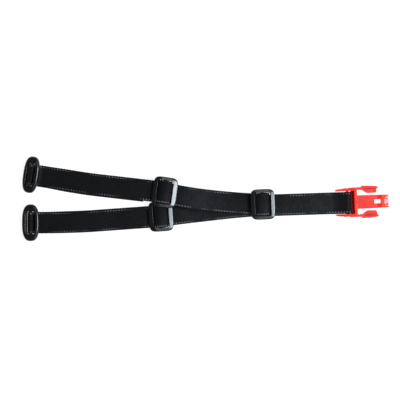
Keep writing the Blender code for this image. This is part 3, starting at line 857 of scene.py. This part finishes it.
# The ramp in the slot beside the bar, seen along the bar as (x, z).
SLOT_RAMP = [(0.0032, -0.0030), (0.0067, -0.0030), (0.0067, 0.0027), (0.0062, 0.0027), (0.0042, -0.0004),
             (0.0039, -0.0008), (0.0038, -0.0022), (0.0032, -0.0025)]
BODY_HALF_THICK = 0.0033
TONGUE_HALF_THICK = 0.0019
ARM_HALF_THICK = 0.0023
ARM_GROOVE = (0.0119, 0.0127)       # across the arm
BAY_SIDE = 0.0110                   # rims nearer the middle than this are round the strap's bay
OUTER_SIDE = 0.0112
WING_TAPER = 0.45                   # share of its thickness that a wing loses up to its tip
WING_LENGTH = 0.0116
BOSS_SIDE = 0.0122
STOP_NUBS = ((0.0363, 0.0024, 0.0006), (0.0370, -0.0029, 0.0008))       # place and radius


def mirrored(points):
    return points + [(x, -y) for x, y in reversed(points)]


def buckle_body():
    """Cross wall, wings and bar of the plug, and its tongue with a window, a dip and a sunk tip."""
    body = slab("buckle_plug_moulding", mirrored(WING) + STRAP_BAY, -BODY_HALF_THICK, BODY_HALF_THICK)
    round_rims(body, 0.0013, 5, lambda edge: on_rim(edge) and abs(edge.verts[0].co.y) > OUTER_SIDE)
    round_rims(body, 0.0003, 2, lambda edge: on_rim(edge) and abs(edge.verts[0].co.y) < BAY_SIDE)
    for vert in body.data.vertices:
        vert.co.z *= 1.0 - WING_TAPER * min(max(-vert.co.x / WING_LENGTH, 0.0), 1.0)
    combine(body, rod("buckle_bar", BAR_RADIUS, 0.0228))
    for y in (BOSS_SIDE, -BOSS_SIDE):
        combine(body, rod("bar_boss", 0.0015, 0.0024, (-0.0023, y, 0.0)))
    ramp = slab("slot_ramp", SLOT_RAMP, -BAY_SIDE, BAY_SIDE)
    ramp.data.transform(UPRIGHT)
    combine(body, ramp)

    outline = mirrored(TONGUE_SIDE + TIP_CORNER + NOTCH)
    tongue = slab("tongue", outline, -TONGUE_HALF_THICK, TONGUE_HALF_THICK, 0.0005, 4)
    dip = block("dip", (-0.0021, -0.0080, 0.0), (0.0021, 0.0080, 0.0030))
    dip.data.transform(Matrix.Translation((0.0296, 0.0, 0.0015)) @ Matrix.Rotation(-0.17, 4, "Y"))
    combine(tongue, dip, "DIFFERENCE")
    combine(tongue, block("window", (0.0246, -0.0019, -0.0040), (0.0311, 0.0019, 0.0040)), "DIFFERENCE")
    combine(body, tongue)
    combine(body, block("lead_in", (0.0325, -0.0053, -0.0015), (0.0383, 0.0053, 0.0012), 0.0002, 2, 0.0013))
    for x, y, radius in STOP_NUBS:
        nub = rod("stop_nub", radius, 0.0020)
        nub.data.transform(Matrix.Translation((x, y, 0.0003)) @ UPRIGHT)
        combine(body, nub)
    finish_piece(body, BUCKLE_PLACE, RED_ACETAL, 30)
    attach(body, "buckle")
    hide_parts("buckle_body")


def buckle_arm(label, side):
    """A spring arm with its latch block and the groove along it."""
    outline = [(x, side * y) for x, y in ARM]
    arm = slab(f"buckle_{label}_arm_moulding", outline, -ARM_HALF_THICK, ARM_HALF_THICK, 0.0005, 4)
    groove_low, groove_high = sorted(side * y for y in ARM_GROOVE)
    groove = block("groove", (0.0150, groove_low, 0.0012), (0.0300, groove_high, 0.0040))
    combine(arm, groove, "DIFFERENCE")
    finish_piece(arm, BUCKLE_PLACE, RED_ACETAL, 30)
    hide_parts(f"buckle_{label}_arm")
    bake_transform(arm)


buckle_body()
buckle_arm("upper", 1)
buckle_arm("lower", -1)


# ---------------------------------------------------------------- sewn ends
TACK_STITCHES = 40
TACK_LENGTH = 0.0018
TACK_INSET = 0.0006                 # from the edges of the strap
THREAD_RADIUS = 0.00018


def bar_tack(node, body):
    """Zigzag thread in the place of a bar tack."""
    low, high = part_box(node)
    middle = (low + high) / 2
    length = min(high.x - low.x, TACK_LENGTH)
    points = []
    for i, y in enumerate(spaced(low.y + TACK_INSET, high.y - TACK_INSET, TACK_STITCHES)):
        side = 1 if i % 2 else -1
        points.append((middle.x + side * length / 2.6, y, middle.z + side * (high.z - low.z) * 0.3))
    path = bpy.data.curves.new(node + "_thread", "CURVE")
    path.dimensions = "3D"
    path.bevel_depth = THREAD_RADIUS
    path.bevel_resolution = 2
    path.use_fill_caps = True
    spline = path.splines.new("POLY")
    spline.points.add(TACK_STITCHES - 1)
    for point, place in zip(spline.points, points):
        point.co = (*place, 1.0)
    piece = bpy.data.objects.new(node + "_thread", path)
    bpy.context.scene.collection.objects.link(piece)
    activate(piece)
    bpy.ops.object.convert(target="MESH")
    piece = bpy.context.active_object
    finish_piece(piece, Matrix.Identity(4), BLACK_THREAD, 60)
    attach(piece, body)
    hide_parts(node)


bar_tack("junction_bar_tack", "tail")
bar_tack("tail_bar_tack", "tail")
bar_tack("upper_branch_bar_tack", "upper_branch")
bar_tack("lower_branch_bar_tack", "lower_branch")


# ---------------------------------------------------------------- camera, floor and light
CAMERA_SPOT = (-0.00534, -0.00121, 0.800)
CAMERA_LENS = 76.5
FLOOR_SIZE = 60.0
FLOOR_GAP = 0.0002                  # between the harness and the floor
FLOOR_GLOW = 0.88

camera_data = bpy.data.cameras.new("camera")
camera_data.sensor_width = 36.0
camera_data.lens = CAMERA_LENS
camera_data.clip_start = 0.01
camera = bpy.data.objects.new("camera", camera_data)
bpy.context.scene.collection.objects.link(camera)
camera.location = CAMERA_SPOT
bpy.context.scene.camera = camera


def floor_material():
    made, graph, shader = new_material("pale_floor")
    place = graph.add("ShaderNodeTexCoord", "Object")
    soft = graph.noise(place, 3.0, 2.0)
    colour = graph.mix(soft, (0.21, 0.21, 0.21, 1.0), (0.24, 0.24, 0.24, 1.0))
    graph.tree.links.new(colour, shader.inputs["Base Color"])
    shader.inputs["Roughness"].default_value = 0.9
    shader.inputs["Specular IOR Level"].default_value = 0.0
    shader.inputs["Emission Color"].default_value = (1.0, 1.0, 1.0, 1.0)
    shader.inputs["Emission Strength"].default_value = FLOOR_GLOW
    return made


deselect()
bpy.ops.mesh.primitive_plane_add(size=FLOOR_SIZE, location=(0.0, 0.0, -FLOOR_GAP))
floor = bpy.context.active_object
floor.name = "floor"
floor.data.materials.append(floor_material())


def soft_light(name, spot, target, size, power, colour=(1.0, 1.0, 1.0)):
    """A rectangular softbox turned to its target; power in watts."""
    data = bpy.data.lights.new(name, "AREA")
    data.shape = "RECTANGLE"
    data.size, data.size_y = size
    data.energy = power
    data.color = colour
    lamp = bpy.data.objects.new(name, data)
    bpy.context.scene.collection.objects.link(lamp)
    lamp.location = spot
    lamp.rotation_euler = (Vector(target) - Vector(spot)).to_track_quat("-Z", "Y").to_euler()


COOL_WHITE = (0.84, 0.94, 1.0)
FILL_TARGET = (0.05, 0.0, 0.0)
FILL_SIZE = (0.9, 0.3)
soft_light("right_softbox", (0.76, -0.05, 0.84), (0.0, 0.0, 0.0), (0.50, 0.36), 15.5, COOL_WHITE)
soft_light("far_fill", (0.1, 0.50, 0.95), FILL_TARGET, FILL_SIZE, 2.2)
soft_light("near_fill", (0.1, -0.50, 0.95), FILL_TARGET, FILL_SIZE, 1.8)

STUDIO_GLOW = 0.15
world = bpy.data.worlds.new("studio")
bpy.context.scene.world = world
world.use_nodes = True
world.node_tree.nodes["Background"].inputs["Color"].default_value = (1.0, 1.0, 1.0, 1.0)
world.node_tree.nodes["Background"].inputs["Strength"].default_value = STUDIO_GLOW
bpy.context.scene.view_settings.view_transform = "Standard"
